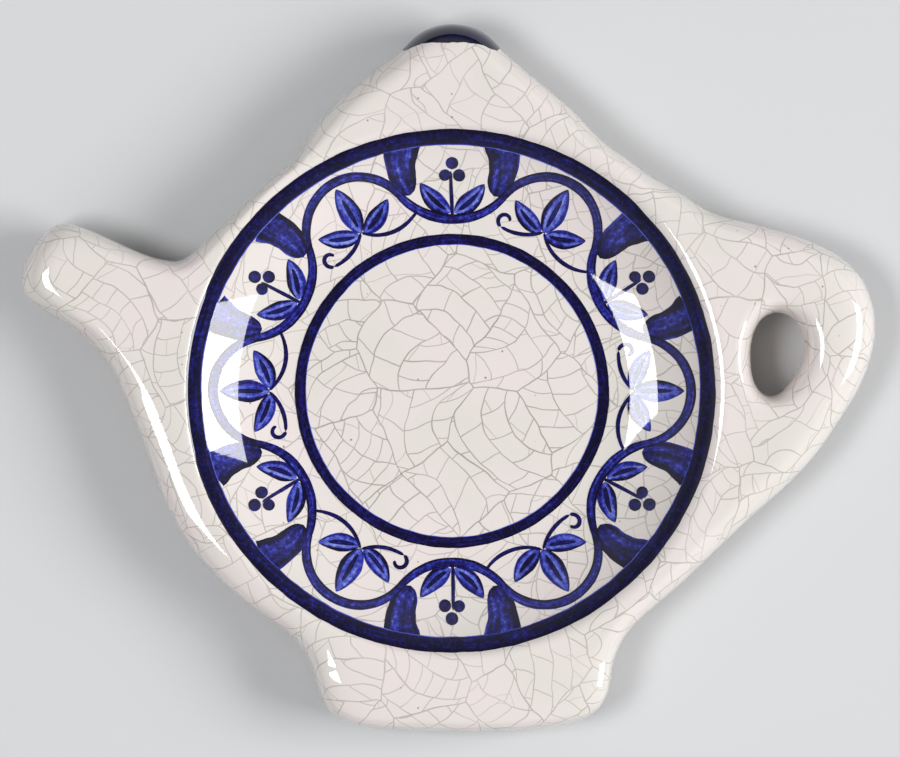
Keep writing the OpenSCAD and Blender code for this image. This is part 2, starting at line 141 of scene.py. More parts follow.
castingLook = {
    "crestRadius": 39.6,      # dish, mm from its axis
    "crestHeight": 12.0,
    "wellRadius": 21.7,
    "floorHeight": 5.0,
    "edgeHeight": 5.6,        # level of the widest line round the edge
    "undersideHeight": 2.0,
    "undersideRoll": 2.2,     # how far the underside comes in as it rounds
    "domeReach": 4.0,         # how far in from the edge the top keeps rounding
    "flatFrom": 0.368,        # value of the field below which the top is level
    "holeFlatFrom": 0.42,     # the same round the finger hole, up to so far from its middle
    "holeReach": (8, 12),
    "spoutFlatFrom": 0.46,    # the same on the spout, up to this place along it
    "spoutReach": (-50, -42),
    "lowCrown": 0.74,         # share of a low crown in the rounding of base and belly
    "tightEdge": 14.0,        # and how tight their edge is
    "baseTop": -36.5,         # the base's rounding starts below this line and is whole after 5 mm
    "baseBlend": 5.0,
    "bellyTop": 8.0,          # the belly's rounding, on the spout's side of the axis only
    "bellyBlend": 12.0,
    "bellyWide": 20.0,
    "crestRound": 0.5,        # softness of the ridge round the dish, and more of it towards the handle
    "crestRoundMore": 0.8,
    "edgeSpacing": 0.55,      # mesh spacing along the edge
    "topSpacing": 0.6,        # mesh spacing on the rounded tops
    "edgeSteps": 8,           # mesh rows on the edge's lower half, and on its upper half
    "roundSteps": 480,        # mesh steps round the dish
    "borderSteps": 29,        # mesh rings down the border
    "floorRings": [21, 19, 15, 10, 5, 1.5],
    "fieldStep": 0.4,         # spacing of the grid that the rounding is worked out on
    "fieldRounds": 500,       # how often it is relaxed
    "fieldEdge": (0.1, 90),   # spacing and smoothing of the lines that it starts from
    "bandWidth": 0.9,         # width of the mesh rows that follow the edge
    "crackSpread": 0.6,       # how far out the crackle is laid for each mm that the edge drops
}


# keeps for each point its place on the glaze as if it were laid flat, in millimetres: the plan place
# in the dish, and further out on the steep edges, so that the cracks keep their size there
def storeGlazeSpots(mesh, points, normals):
    beyond = np.clip(np.linalg.norm(points[:, :2], axis=1) - castingLook["crestRadius"], 0, 1)
    drop = np.maximum(castingLook["crestHeight"] - points[:, 2], 0)
    spots = points[:, :2] + normals[:, :2] * (castingLook["crackSpread"] * drop * beyond)[:, None]
    held = mesh.attributes.new("glazeSpot", "FLOAT_VECTOR", "POINT")
    held.data.foreach_set("vector", np.column_stack([spots, np.zeros(len(spots))]).astype(np.float32).ravel())


# the closed lines at one height of a CAD node, in millimetres, longest first and anticlockwise
def readLoops(node, height):
    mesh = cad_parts[node].data
    places, numbers = {}, []
    for vertex in mesh.vertices:
        x, y, z = vertex.co / mm
        level = abs(z - height) < 0.002
        numbers.append(places.setdefault((round(x, 3), round(y, 3)), len(places)) if level else -1)
    spots = list(places)
    joined = {}
    for edge in mesh.edges:
        a, b = (numbers[v] for v in edge.vertices)
        if a >= 0 and b >= 0 and a != b:
            joined.setdefault(a, set()).add(b)
            joined.setdefault(b, set()).add(a)
    loops, unused = [], set(joined)
    while unused:
        loop, onward = [], [unused.pop()]
        while onward:
            here = onward[0]
            loop.append(here)
            unused.discard(here)
            onward = [n for n in joined[here] if n in unused]
        loops.append(np.array([spots[i] for i in loop]))
    loops.sort(key=len, reverse=True)
    for k, loop in enumerate(loops):
        x, y = loop.T
        if np.sum(x * np.roll(y, -1) - y * np.roll(x, -1)) < 0:
            loops[k] = loop[::-1]
    return loops


# a closed line redrawn smoothly through its points at an even spacing
def smoothLoop(loop, spacing, passes=5):
    a, b, c, d = (np.roll(loop, n, 0) for n in (1, 0, -1, -2))
    t = np.linspace(0, 1, 12, endpoint=False)[:, None, None]
    fine = (2 * b + (c - a) * t + (2 * a - 5 * b + 4 * c - d) * t ** 2 + (3 * b - a - 3 * c + d) * t ** 3) / 2
    line = fine.transpose(1, 0, 2).reshape(-1, 2)
    closed = np.vstack([line, line[:1]])
    run = runOf(closed)
    marks = np.linspace(0, run[-1], int(round(run[-1] / spacing)), endpoint=False)
    even = np.stack([np.interp(marks, run, closed[:, k]) for k in (0, 1)], 1)
    for _ in range(passes):
        even = (np.roll(even, 1, 0) + 2 * even + np.roll(even, -1, 0)) / 4
    return np.clip(even, loop.min(0), loop.max(0))


# the sideways direction at each point of a closed line, to its right
def loopNormals(loop):
    run = np.roll(loop, -1, 0) - np.roll(loop, 1, 0)
    return unit(np.stack([run[:, 1], -run[:, 0]], 1))


# which points lie inside a closed line
def insideLoop(loop, points):
    x, y = points.T
    inside = np.zeros(len(points), bool)
    for (x0, y0), (x1, y1) in zip(loop, np.roll(loop, -1, 0)):
        if y0 != y1:
            crossing = (y > min(y0, y1)) & (y <= max(y0, y1))
            inside ^= crossing & (x < x0 + (y - y0) * (x1 - x0) / (y1 - y0))
    return inside


# which points lie inside one closed line and outside another
def betweenLoops(outer, inner, points):
    return insideLoop(outer, points) & ~insideLoop(inner, points)


# How far the top has come up: 1 at the edge, falling below 0 on the level tops and in the dish.
# It is relaxed on a grid like a stretched skin, so spout, knob and handle round over by themselves.
class TopField:
    def __init__(self, look, outline, hole):
        self.look = look
        self.holeMiddle = hole.mean(0)
        crest = look["crestRadius"]
        step = self.step = look["fieldStep"]
        margin = 3 * step
        self.low = outline.min(0) - 4 * step
        size = np.ceil((outline.max(0) - self.low) / step).astype(int) + 5
        xs, ys = (self.low[k] + step * np.arange(size[k]) for k in (0, 1))
        gx, gy = np.meshgrid(xs, ys, indexing="ij")
        points = np.stack([gx.ravel(), gy.ravel()], 1)
        solid = betweenLoops(outline, hole, points)
        finder = finderOf(np.vstack([outline, hole]))
        reach = np.linalg.norm(points, axis=1)
        free = solid & (reach > crest)
        nearest = np.zeros_like(points)
        away = np.full(len(points), 99.0)
        for i in np.flatnonzero(reach > crest - margin):
            spot, _, away[i] = finder.find((*points[i], 0))
            nearest[i] = spot[0], spot[1]
        # mirrored points hold the value 1 at the edge and 0 at the crest
        outer = np.flatnonzero(~solid & (away < margin) & (reach > crest))
        inner = np.flatnonzero((reach <= crest) & (reach > crest - margin))
        mirrored = np.vstack([2 * nearest[outer] - points[outer],
                              points[inner] * (2 * crest / reach[inner] - 1)[:, None]])
        ghosts = np.concatenate([outer, inner])
        held = np.concatenate([np.full(len(outer), 2.0), np.zeros(len(inner))])
        value = np.where(free, np.exp(-away / look["domeReach"]), 0.0)
        place = (mirrored - self.low) / step
        corner = np.floor(place).astype(int)
        u, v = (place - corner).T
        flat = corner[:, 0] * size[1] + corner[:, 1]
        shares = [((1 - u) * (1 - v), 0), (u * (1 - v), size[1]), ((1 - u) * v, 1), (u * v, size[1] + 1)]
        grid = value.reshape(size)
        loose = free.reshape(size)
        pull = 4 + (step / look["domeReach"]) ** 2
        for _ in range(look["fieldRounds"]):
            line = grid.ravel()
            # half a step at a time, so that neighbours in a tight corner don't swing against each other
            wanted = held - sum(share * line[flat + shift] for share, shift in shares)
            line[ghosts] = (line[ghosts] + wanted) / 2
            grid = line.reshape(size)
            around = np.zeros_like(grid)
            around[1:-1, 1:-1] = grid[2:, 1:-1] + grid[:-2, 1:-1] + grid[1:-1, 2:] + grid[1:-1, :-2]
            grid = np.where(loose, around / pull, grid)
        self.grid = grid

    # the relaxed value turned into the form's own rounding: full domes on spout, lid and handle,
    # and on the base and the belly's left side a low crown with a tight edge, like a slab's
    def shaped(self, points, value):
        look = self.look
        x, y = points[:, 0], points[:, 1]
        far = np.linalg.norm(points - self.holeMiddle, axis=1)
        level = np.maximum(np.interp(far, look["holeReach"], [look["holeFlatFrom"], look["flatFrom"]]),
                           np.interp(x, look["spoutReach"], [look["spoutFlatFrom"], look["flatFrom"]]))
        dome = (value - level) / (1 - level)
        held = np.clip(value, 0, 1.2)
        slab = look["lowCrown"] * held + (1 - look["lowCrown"]) * held ** look["tightEdge"]
        onBase = np.clip((look["baseTop"] - y) / look["baseBlend"], 0, 1)
        onBelly = np.clip((look["bellyTop"] - y) / look["bellyBlend"], 0, 1)
        share = np.maximum(onBase, onBelly * np.clip(-x / look["bellyWide"], 0, 1))
        share = share ** 2 * (3 - 2 * share)
        return dome * (1 - share) + slab * share

    # the value at points, by a smooth cubic through the grid
    def at(self, points):
        place = (points - self.low) / self.step
        base = np.clip(np.floor(place).astype(int), 1, np.array(self.grid.shape) - 3)
        t = np.clip(place - base, 0, 1)

        def weights(s):
            return [(-s + 2 * s ** 2 - s ** 3) / 2, (2 - 5 * s ** 2 + 3 * s ** 3) / 2,
                    (s + 4 * s ** 2 - 3 * s ** 3) / 2, (s ** 3 - s ** 2) / 2]
        wx, wy = weights(t[:, 0]), weights(t[:, 1])
        value = sum(wx[i] * wy[j] * self.grid[base[:, 0] + i - 1, base[:, 1] + j - 1]
                    for i in range(4) for j in range(4))
        return self.shaped(points, value)

    # height and unit normal of the glazed top at points well inside the edge
    def surface(self, points):
        look = self.look
        crest, rise = look["crestRadius"], look["crestHeight"] - look["edgeHeight"]
        nudge, ridge = 0.15, 1.2
        w = np.clip(self.at(points), 0, 0.9999)
        slope = [self.at(points + shift) - self.at(points - shift) for shift in nudge * np.eye(2)]
        root = np.sqrt(1 - w ** 2)
        outerZ = look["edgeHeight"] + rise * root
        outerSlope = np.stack(slope, 1) / (2 * nudge) * (-rise * w / root)[:, None]
        reach = np.linalg.norm(points, axis=1)
        outward = points / np.maximum(reach, 1e-9)[:, None]
        dishRise, dishRun = look["crestHeight"] - look["floorHeight"], crest - look["wellRadius"]
        arc = (dishRun ** 2 + dishRise ** 2) / (2 * dishRise)
        run = np.clip(reach - look["wellRadius"], 0, dishRun)
        drop = np.sqrt(arc ** 2 - run ** 2)
        steep = run / drop
        dishZ = look["floorHeight"] + arc - drop + np.maximum(reach - crest, 0) * steep
        inDish = reach < crest - ridge
        outerZ[inDish] = look["crestHeight"]
        outerSlope[inDish] = 0
        soft = look["crestRound"] + look["crestRoundMore"] * np.maximum(outward[:, 0], 0) ** 2
        share = np.clip(0.5 + 0.5 * (dishZ - outerZ) / soft, 0, 1)
        z = dishZ * (1 - share) + outerZ * share - soft * share * (1 - share)
        steepness = outerSlope * share[:, None] + outward * (steep * (1 - share))[:, None]
        return z, unit(np.column_stack([-steepness, np.ones(len(points))]))

    # points and normals of the rounded edge, a distance in from a closed line on the given side
    def edgeRow(self, line, outward, distance):
        look = self.look
        rise = look["crestHeight"] - look["edgeHeight"]
        d = np.broadcast_to(np.asarray(distance, float), (len(line),))
        near, mergeOver = 0.5, 0.3
        first, second = self.at(line - outward * near), self.at(line - outward * 2 * near)
        bend = (second - 2 * first + 1) / (2 * near ** 2)
        lean = (first - 1) / near - bend * near
        points = line - outward * d[:, None]
        w = np.clip(1 + lean * d + bend * d ** 2, 0, 1)
        z = look["edgeHeight"] + rise * np.sqrt(1 - w ** 2)
        side = w * -(lean + 2 * bend * d)
        normals = unit(np.column_stack([outward * side[:, None], (z - look["edgeHeight"]) / rise ** 2]))
        farZ, farNormals = self.surface(points)
        blend = np.clip((d - near) / mergeOver, 0, 1)
        z = z * (1 - blend) + farZ * blend
        normals = unit(normals * (1 - blend)[:, None] + farNormals * blend[:, None])
        return np.column_stack([points, z]), normals

    # the same on the underside, by its angle round the quarter turn
    def underRow(self, line, outward, turn):
        look = self.look
        drop = look["edgeHeight"] - look["undersideHeight"]
        d = look["undersideRoll"] * (1 - math.cos(turn))
        z = np.full(len(line), look["edgeHeight"] - drop * math.sin(turn))
        points = np.column_stack([line - outward * d, z])
        normals = np.column_stack([outward * math.cos(turn) / look["undersideRoll"],
                                   np.full(len(line), -math.sin(turn) / drop)])
        return points, unit(normals)


# even points inside an area, a little away from its edges
def fillPoints(spacing, low, high, keep):
    points = []
    for row, y in enumerate(np.arange(low[1], high[1], spacing * 0.866)):
        xs = np.arange(low[0] + (row % 2) * spacing / 2, high[0], spacing)
        points.append(np.stack([xs, np.full(len(xs), y)], 1))
    points = np.vstack(points)
    return points[keep(points)]


# triangles over a level area between closed lines, each made of numbered points
def fillTriangles(points, loops, keep):
    edges = [(loop[i], loop[(i + 1) % len(loop)]) for loop in loops for i in range(len(loop))]
    _, _, faces, origin, _, _ = delaunay_2d_cdt([Vector(p) for p in points], edges, [], 0, 1e-7)
    number = [o[0] for o in origin]
    corners = np.array([[number[i] for i in face] for face in faces])
    middles = points[corners].mean(1)
    corners = corners[keep(middles)]
    a, b, c = (points[corners[:, k]] for k in range(3))
    turned = (b[:, 0] - a[:, 0]) * (c[:, 1] - a[:, 1]) - (b[:, 1] - a[:, 1]) * (c[:, 0] - a[:, 0]) < 0
    corners[turned] = corners[turned][:, ::-1]
    return corners


# the whole skin: the edge's rows, the dish's rings, the rounded tops between them and the underside
def makeCasting(look, outline, hole, field):
    rows, sheets, faces = [], [], []
    steps = look["edgeSteps"]

    def addPoints(points, normals):
        first = sum(len(row) for row in rows)
        rows.append(points)
        sheets.append(normals)
        return np.arange(first, first + len(points))

    # points on the glazed top over some plan places
    def addTop(points):
        z, normals = field.surface(points)
        return addPoints(np.column_stack([points, z]), normals)

    def planOf(numbers):
        return np.vstack(rows)[numbers][:, :2]

    # quads between two rings, facing outwards where the first ring is the lower or outer one
    def bridge(lower, upper, flip=False):
        quads = np.stack([lower, np.roll(lower, -1), np.roll(upper, -1), upper], 1)
        faces.extend((quads[:, ::-1] if flip else quads).tolist())

    # triangles between closed rings, over the points inside where there are any
    def fill(rings, keep, *inside):
        used = np.concatenate([*rings, *inside])
        ends = np.cumsum([0] + [len(ring) for ring in rings])
        loops = [list(range(start, end)) for start, end in zip(ends, ends[1:])]
        return used[fillTriangles(planOf(used), loops, keep)]

    tops, unders = [], []
    for line, sign in ((outline, 1), (hole, -1)):
        outward = loopNormals(line) * sign
        rings = []
        for k in range(steps):
            rings.append(addPoints(*field.underRow(line, outward, math.pi / 2 * (1 - k / steps))))
        for k in range(steps + 1):
            rings.append(addPoints(*field.edgeRow(line, outward, look["bandWidth"] * (k / steps) ** 2)))
        for lower, upper in zip(rings, rings[1:]):
            bridge(lower, upper, flip=sign < 0)
        unders.append(rings[0])
        tops.append(rings[-1])

    # the dish: rings close together on the crest and wider down the border and over the floor
    turns = np.linspace(0, 2 * math.pi, look["roundSteps"], endpoint=False)
    circle = np.stack([np.cos(turns), np.sin(turns)], 1)
    crest, well = look["crestRadius"], look["wellRadius"]
    reaches = np.concatenate([np.arange(crest + 0.5, crest - 1.3, -0.15),
                              np.linspace(crest - 1.4, well, look["borderSteps"]), look["floorRings"]])
    rings = [addTop(reach * circle) for reach in reaches]
    for outer, inner in zip(rings, rings[1:]):
        bridge(outer, inner)
    pole = addPoints(np.array([[0, 0, look["floorHeight"]]]), np.array([[0.0, 0, 1]]))[0]
    faces.extend([int(a), int(b), int(pole)] for a, b in zip(rings[-1], np.roll(rings[-1], -1)))

    # the rounded tops between the edge rows and the crest
    topLines = [planOf(ring) for ring in tops]
    near = finderOf(np.vstack([*topLines, planOf(rings[0])]))

    def onTop(points):
        return (np.linalg.norm(points, axis=1) > reaches[0]) & betweenLoops(*topLines, points)

    def clearTop(points):
        keep = onTop(points)
        for i in np.flatnonzero(keep):
            keep[i] = near.find((*points[i], 0))[2] > look["topSpacing"] * 0.6
        return keep

    spots = addTop(fillPoints(look["topSpacing"], outline.min(0), outline.max(0), clearTop))
    faces.extend(fill([*tops, rings[0]], onTop, spots).tolist())

    # the level underside
    below = partial(betweenLoops, *(planOf(ring) for ring in unders))
    faces.extend(fill(unders, below)[:, ::-1].tolist())
    points, normals = np.vstack(rows), np.vstack(sheets)
    item = meshItem("casting", points * mm, faces, normals)
    storeGlazeSpots(item.data, points, normals)
    return item


print("casting: reading the outline")
outlineLoop, holeLoop = readLoops("body", castingLook["edgeHeight"])[:2]
outline = smoothLoop(outlineLoop, castingLook["edgeSpacing"])
hole = smoothLoop(holeLoop, castingLook["edgeSpacing"])
print("casting: rounding the top")
fieldLines = [smoothLoop(line, *castingLook["fieldEdge"]) for line in (outlineLoop, holeLoop)]
topField = TopField(castingLook, *fieldLines)
casting = makeCasting(castingLook, outline, hole, topField)
print("casting: skin closed")


# Brush strokes: curves swept into thin layers, repeated round the border

brushLook = {
    "tipPoints": 11,          # mesh points across a stroke
    "swellScale": 350.0,      # noise waves per metre that the pressure follows
    "swayScale": 90.0,        # and that the path follows
    "sunk": 0.05,             # mm that a layer's lower side lies in the glaze
    "toneLift": 0.004,        # mm by which strokes that cross lie apart
}


# The tree that every painted piece is swept with. The strokes' radius is the pressure of the brush.
def makeBrushTree(look):
    tree = bpy.data.node_groups.new("brushStrokes", "GeometryNodeTree")
    nameSockets(tree, {"Strokes": ["Object"], "Repeats": ["Int", 6], "Pressure wobble": ["Float", 0.12],
                       "Path wobble": ["Float", 0.2 * mm], "Step": ["Float", 0.4 * mm], "Seed": ["Int", 1],
                       "Paint": ["Material"]}, {"Geometry": ["Geometry"]})
    add = partial(addNode, tree)
    given = add("NodeGroupInput", give=None)
    index = add("GeometryNodeInputIndex")
    where = add("GeometryNodeInputPosition")
    place = add("GeometryNodeSplineParameter", give=None)

    # evenly spaced points on every stroke, each keeping what the paint's material reads
    even = add("GeometryNodeObjectInfo", {"Object": given["Strokes"]}, give="Geometry")
    even = add("GeometryNodeResampleCurve", {"Curve": even, "Length": given["Step"]}, mode="LENGTH")
    for name, value, domain in (("reach", place["Factor"], "POINT"),
                                ("along", add("Math MULTIPLY", place["Length"], 1000.0), "POINT"),
                                ("tone", add("Math FRACT", add("Math MULTIPLY", index, 0.618)), "CURVE")):
        even = add("GeometryNodeStoreNamedAttribute", {"Geometry": even, "Name": name, "Value": value},
                   data_type="FLOAT", domain=domain)
    even = add("GeometryNodeSetCurveNormal", {"Curve": even}, mode="Z_UP")
    tip = add("GeometryNodeCurvePrimitiveLine", {"Start": (-1, 0, 0), "End": (1, 0, 0)})
    tip = add("GeometryNodeResampleCurve", {"Curve": tip, "Count": look["tipPoints"]}, mode="COUNT")
    tip = add("GeometryNodeStoreNamedAttribute", {"Geometry": tip, "Name": "across",
                                                  "Value": add("SeparateXYZ", where)}, data_type="FLOAT")

    # the brush's tip swept along, its pressure swelling and easing, as a closed layer
    swell = add("TexNoise", {"Vector": where, "W": add("Math ADD", given["Seed"], 5),
                             "Scale": look["swellScale"], "Detail": 1.0}, noise_dimensions="4D")
    swell = add("Math MULTIPLY", add("Math SUBTRACT", swell, 0.5), 2.0)
    swell = add("Math ADD", add("Math MULTIPLY", swell, given["Pressure wobble"]), 1.0)
    radius = add("Math MULTIPLY", add("GeometryNodeInputRadius"), swell)
    ribbon = add("GeometryNodeCurveToMesh", {"Curve": even, "Profile Curve": tip, "Scale": radius})
    raised = add("GeometryNodeExtrudeMesh", {"Mesh": ribbon, "Offset": (0, 0, 1), "Offset Scale": mm,
                                             "Individual": False}, mode="FACES")
    layer = add("GeometryNodeJoinGeometry", raised)
    tree.links.new(add("GeometryNodeFlipFaces", ribbon), layer.node.inputs[0])
    layer = add("GeometryNodeMergeByDistance", {"Geometry": layer, "Distance": 1e-7})

    # repeated round the axis, and the path swayed a little by the hand
    hubs = add("GeometryNodePoints", {"Count": given["Repeats"]})
    hubs = add("GeometryNodeStoreNamedAttribute", {"Geometry": hubs, "Name": "wave", "Value": index},
               data_type="FLOAT")
    turn = add("Math DIVIDE", add("Math MULTIPLY", index, 2 * math.pi), given["Repeats"])
    solid = add("GeometryNodeInstanceOnPoints", {"Points": hubs, "Instance": layer,
                                                 "Rotation": add("CombineXYZ", {2: turn})})
    solid = add("GeometryNodeRealizeInstances", solid)
    level = add("VectorMath MULTIPLY", where, (1, 1, 0))
    sway = add("TexNoise", {"Vector": level, "W": add("Math ADD", given["Seed"], 11), "Detail": 1.0,
                            "Scale": look["swayScale"]}, give="Color", noise_dimensions="4D")
    sway = add("VectorMath MULTIPLY", add("VectorMath SUBTRACT", sway, (0.5, 0.5, 0.5)), (2, 2, 0))
    sway = add("VectorMath SCALE", sway, {"Scale": given["Path wobble"]})
    solid = add("GeometryNodeSetPosition", {"Geometry": solid, "Offset": sway})
    solid = add("GeometryNodeSetMaterial", {"Geometry": solid, "Material": given["Paint"]})
    add("NodeGroupOutput", solid)
    return tree


# strokes, each (points in mm, brush radius in mm, closed), swept by the brush tree into a plain mesh
def sweepStrokes(name, strokes, given):
    curve = bpy.data.curves.new(name + "Path", "CURVE")
    curve.dimensions = "3D"
    for points, radii, closed in strokes:
        spline = curve.splines.new("POLY")
        spline.points.add(len(points) - 1)
        for spot, (x, y), radius in zip(spline.points, points, radii):
            spot.co = (x * mm, y * mm, 0, 1)
            spot.radius = radius * mm
        spline.use_cyclic_u = closed
    path = newItem(name + "Path", curve)
    piece = grownItem(name, brushTree, {"Strokes": path, **given})
    bpy.data.objects.remove(path)
    return piece


# shades a thin layer smoothly: its upper faces take the glaze's own normals, the others stay flat
def shadeLayer(mesh, upper, normals):
    corners = []
    for face in mesh.polygons:
        onTop = all(upper[v] for v in face.vertices)
        corners.extend(normals[v] if onTop else face.normal for v in face.vertices)
    mesh.polygons.foreach_set("use_smooth", [True] * len(mesh.polygons))
    mesh.normals_split_custom_set([tuple(n) for n in corners])


# Lays a flat layer on the glaze: its lower side just under the surface, its upper side just above,
# with the upper side's normals taken from the glaze, so that both catch the light as one surface.
def layOnGlaze(item, lift, look):
    mesh = item.data
    points = np.zeros(len(mesh.vertices) * 3, np.float32)
    mesh.vertices.foreach_get("co", points)
    points = points.reshape(-1, 3).astype(float) / mm
    tone = np.zeros(len(points), np.float32)
    mesh.attributes["tone"].data.foreach_get("value", tone)
    upper = points[:, 2] > 0.5
    z, normals = topField.surface(points[:, :2])
    raised = np.where(upper, lift + tone * look["toneLift"], -look["sunk"])
    laid = np.column_stack([points[:, :2], z]) + normals * raised[:, None]
    mesh.vertices.foreach_set("co", (laid * mm).astype(np.float32).ravel())
    mesh.update()
    storeGlazeSpots(mesh, laid, normals)
    shadeLayer(mesh, upper, normals)


# Materials

glazeLook = {
    "warmIvory": "#ece1de",     # where the glaze lies thin over the pale clay
    "greenIvory": "#e4dfd7",    # where it pools a little thicker
    "crackle": "#a7a097",       # tea and dust worked into the fine cracks
    "speck": "#6d5b4b",         # iron specks burnt out of the clay
    "netSize": 11.0,            # mm between the first, longest cracks
    "rowSize": 3.3,             # mm between the cracks that split their cells
    "cellSize": 2.4,
    "arcReach": 10.5,           # mm from a cell's middle to the centre that its cracks bend round
    "bends": ((16.0, 5.0), (5.5, 1.7), (2.2, 0.35)),    # grain and size in mm of the net's bends
    "crackWidth": 0.088,        # mm, half the width of a crack line
    "gloss": 0.03,              # roughness of the fired surface
    "waviness": 0.022,          # mm, height of the glaze's slow waves, and their grain
    "waveSize": 10.0,
    "patchSize": 17.0,          # mm, grain of the drift from one ivory to the other
    "fadeSize": 9.0,            # mm, grain of the cracks' fading in and out
    "stain": 0.5,               # how dark the cracks are, and how much more in the well and in patches
    "wellStain": 0.3,
    "patchStain": 0.3,
    "speckFree": 0.94,          # share of places without a speck
    "lightBend": 1.66,          # index of refraction of a lead-bright glaze
}
softStep = {"interpolation_type": "SMOOTHSTEP"}    # how a Map Range node eases its step


# The glaze in real millimetres, shared by the ware and by every painted stroke under it.
# Cracks split cells again and again, each line ending on an older one, as a shrinking glaze does.
def makeGlazeTree(look):
    tree = bpy.data.node_groups.new("crackleGlaze", "ShaderNodeTree")
    nameSockets(tree, {}, {"Crack": ["Float"], "Tint": ["Float"], "Speck": ["Float"], "Normal": ["Vector"],
                           "Millimetres": ["Vector"]})
    add = partial(addNode, tree)
    spot = add("Attribute", give="Vector", attribute_name="glazeSpot")
    bent = spot
    for grain, size in look["bends"]:
        cloud = add("TexNoise", {"Vector": bent, "Scale": 1 / grain, "Detail": 1.0}, give="Color")
        shift = add("VectorMath SUBTRACT", cloud, (0.5, 0.5, 0.5))
        bent = add("VectorMath ADD", bent, add("VectorMath SCALE", shift, {"Scale": size}))
    net = {"Vector": bent, "Scale": 1 / look["netSize"]}
    cells = add("TexVoronoi", net, give=None, voronoi_dimensions="2D", feature="F1")
    edge = add("TexVoronoi", net, give="Distance", voronoi_dimensions="2D", feature="DISTANCE_TO_EDGE")
    first = add("Math MULTIPLY", edge, look["netSize"])
    local = add("VectorMath SUBTRACT", bent, cells["Position"])
    x, y, _ = add("SeparateXYZ", local, give=None)

    # a family of even arcs across a cell: the number of the nearest gap, and the distance to a line
    def family(angle, spacing, shift):
        across = add("Math MULTIPLY_ADD", add("Math COSINE", angle), look["arcReach"], x)
        up = add("Math MULTIPLY_ADD", add("Math SINE", angle), look["arcReach"], y)
        away = add("Math SQRT", add("Math MULTIPLY_ADD", across, across, add("Math MULTIPLY", up, up)))
        count = add("Math ADD", add("Math DIVIDE", away, spacing), shift)
        number = add("Math FLOOR", count)
        part = add("Math SUBTRACT", count, number)
        nearest = add("Math MINIMUM", part, add("Math SUBTRACT", 1.0, part))
        return number, add("Math MULTIPLY", nearest, spacing)

    # three random numbers for a gap of a family, and the shift of the next family in it
    def chances(number, last):
        pair = add("CombineXYZ", number, add("Math MULTIPLY", last, 97.0))
        drawn = add("TexWhiteNoise", {"Vector": pair}, give="Color", noise_dimensions="2D")
        one, two, three = add("SeparateColor", drawn, give=None)
        return one, two, three, add("Math MULTIPLY", three, 9.0)

    one, two, three = add("SeparateColor", cells["Color"], give=None)
    angle = add("Math MULTIPLY", one, 6.283)
    spacing = add("Math MULTIPLY_ADD", two, look["rowSize"] * 0.9, look["rowSize"] * 0.8)
    number, second = family(angle, spacing, add("Math MULTIPLY", three, 9.0))
    one, two, three, shift = chances(number, three)
    angle = add("Math ADD", angle, add("Math MULTIPLY_ADD", one, 0.9, 1.12))
    spacing = add("Math MULTIPLY_ADD", two, look["cellSize"] * 1.5, look["cellSize"] * 0.75)
    number, third = family(angle, spacing, shift)
    one, two, three, shift = chances(number, three)
    angle = add("Math ADD", angle, add("Math MULTIPLY_ADD", one, 1.2, 0.97))
    _, fourth = family(angle, look["cellSize"] * 2.4, shift)
    # only some of the smallest cells are split once more
    fourth = add("Math ADD", fourth, add("Math MULTIPLY", add("Math GREATER_THAN", two, 0.4), 9.0))

    cracks = 0.0
    # each family's width and darkness as shares of the look's
    families = ((first, 1.1, 1.0), (second, 1.0, 0.92), (third, 0.95, 0.84), (fourth, 0.8, 0.6))
    for away, wide, strength in families:
        wide = wide * look["crackWidth"]
        line = add("MapRange", away, wide * 1.5, wide * 0.25, **softStep)
        cracks = add("Math MAXIMUM", cracks, add("Math MULTIPLY", line, strength))
    # the well has held the most tea, so its cracks are the darkest
    reach = add("VectorMath LENGTH", spot, give="Value")
    inWell = add("MapRange", reach, 26.0, 18.0, **softStep)
    stain = add("Math MULTIPLY_ADD", inWell, look["wellStain"], look["stain"])
    cloud = add("TexNoise", {"Vector": spot, "Scale": 1 / look["fadeSize"], "Detail": 2.0})
    fade = add("MapRange", cloud, 0.3, 0.62, **softStep)
    cracks = add("Math MULTIPLY", cracks, add("Math MULTIPLY_ADD", fade, look["patchStain"], stain))

    cloud = add("TexNoise", {"Vector": spot, "Scale": 1 / look["patchSize"], "Detail": 3.0})
    tint = add("MapRange", cloud, 0.3, 0.7, **softStep)
    dots = add("TexVoronoi", {"Vector": spot, "Scale": 0.4}, give=None, voronoi_dimensions="2D", feature="F1")
    rare = add("SeparateColor", dots["Color"])
    size = add("Math MULTIPLY", add("Math SUBTRACT", rare, look["speckFree"]), 0.9)
    speck = add("MapRange", add("Math SUBTRACT", dots["Distance"], size), 0.035, -0.01, **softStep)
    waves = add("TexNoise", {"Vector": spot, "Scale": 1 / look["waveSize"], "Detail": 1.0})
    height = add("Math SUBTRACT", waves, add("Math MULTIPLY", cracks, 0.03))
    bump = add("Bump", {"Height": height, "Distance": look["waviness"] * mm, "Strength": 1.0})
    add("NodeGroupOutput", cracks, tint, speck, bump, spot)
    return tree


# a material with a cleared tree, and the adder of nodes for it
def newMaterial(name):
    material = bpy.data.materials.new(name)
    material.use_nodes = True
    material.node_tree.nodes.clear()
    return material, partial(addNode, material.node_tree)


